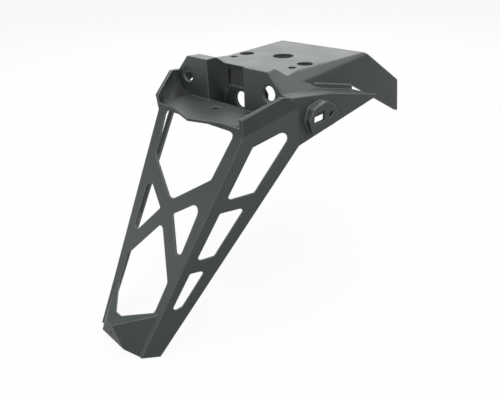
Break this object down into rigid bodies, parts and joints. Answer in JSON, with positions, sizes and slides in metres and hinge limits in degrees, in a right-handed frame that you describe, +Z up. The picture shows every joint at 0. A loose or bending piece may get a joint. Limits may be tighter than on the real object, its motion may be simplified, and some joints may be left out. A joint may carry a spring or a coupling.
{
  "type": "tail tidy",
  "caption": "Moulded tail bracket for a motorcycle: channel-shaped hood with bolt holes, two ears, a shelf and an open-web arm ending in a reflector face.",
  "frame": {"origin": "centre of the large hole in the top face of the hood plate", "axes": "+X to the right-hand side, +Y to the front of the motorcycle, +Z up, normal to the hood plate"},
  "size_m": [0.184, 0.3908, 0.2391],
  "materials": {
    "moulded_plastic": "dark grey, fine moulded grain, satin"
  },
  "bodies": {
    "root": {"bracket": "moulded_plastic"}
  },
  "joints": []
}
